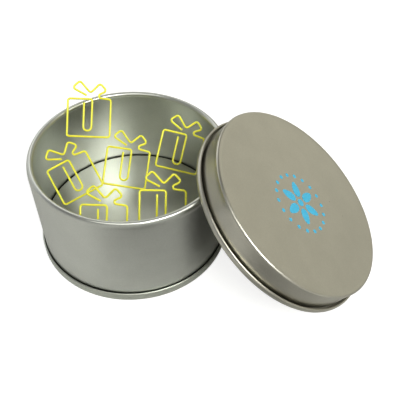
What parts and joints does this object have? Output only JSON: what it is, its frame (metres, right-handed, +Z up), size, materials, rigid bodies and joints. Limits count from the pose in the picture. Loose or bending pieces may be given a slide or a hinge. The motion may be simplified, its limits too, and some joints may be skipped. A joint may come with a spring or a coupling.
{
  "type": "candle tin",
  "caption": "Round tinplate tin with a seamed bottom and an inward-curled rim, its slip lid leaning on the rim and gift-box-shaped wire clips standing inside.",
  "frame": {"origin": "middle of the footprint of the whole set, on the surface it stands on; the tin's own axis is at x = -33.2 mm, y = 14.1 mm", "axes": "+Z up, -Y is the front, +X is the side on which the lid leans"},
  "size_m": [0.1588, 0.1206, 0.0648],
  "materials": {
    "wall_tinplate": "satin tinplate, rolled grain round the wall",
    "bottom_tinplate": "satin tinplate, slightly darker in the seam",
    "lid_tinplate": "satin tinplate, warm grey, with a small cyan print on its top",
    "clip_yellow": "glossy yellow coating on round steel wire"
  },
  "bodies": {
    "tin": {"tin_wall": "wall_tinplate", "tin_bottom": "bottom_tinplate"},
    "lid": {"lid": "lid_tinplate"},
    "clip_1": {"clip_1": "clip_yellow"},
    "clip_2": {"clip_2": "clip_yellow"},
    "clip_3": {"clip_3": "clip_yellow"},
    "clip_4": {"clip_4": "clip_yellow"},
    "clip_5": {"clip_5": "clip_yellow"},
    "clip_6": {"clip_6": "clip_yellow"}
  },
  "joints": [
    {"name": "lid_lift", "type": "slide", "parent": "tin", "child": "lid", "axis": [0, 0, 1], "range_m": [0, 0.06]},
    {"name": "clip_1_lift", "type": "slide", "parent": "tin", "child": "clip_1", "axis": [0, 0, 1], "range_m": [0, 0.04]},
    {"name": "clip_2_lift", "type": "slide", "parent": "tin", "child": "clip_2", "axis": [0, 0, 1], "range_m": [0, 0.04]},
    {"name": "clip_3_lift", "type": "slide", "parent": "tin", "child": "clip_3", "axis": [0, 0, 1], "range_m": [0, 0.04]},
    {"name": "clip_4_lift", "type": "slide", "parent": "tin", "child": "clip_4", "axis": [0, 0, 1], "range_m": [0, 0.04]},
    {"name": "clip_5_lift", "type": "slide", "parent": "tin", "child": "clip_5", "axis": [0, 0, 1], "range_m": [0, 0.04]},
    {"name": "clip_6_lift", "type": "slide", "parent": "tin", "child": "clip_6", "axis": [0, 0, 1], "range_m": [0, 0.04]}
  ]
}
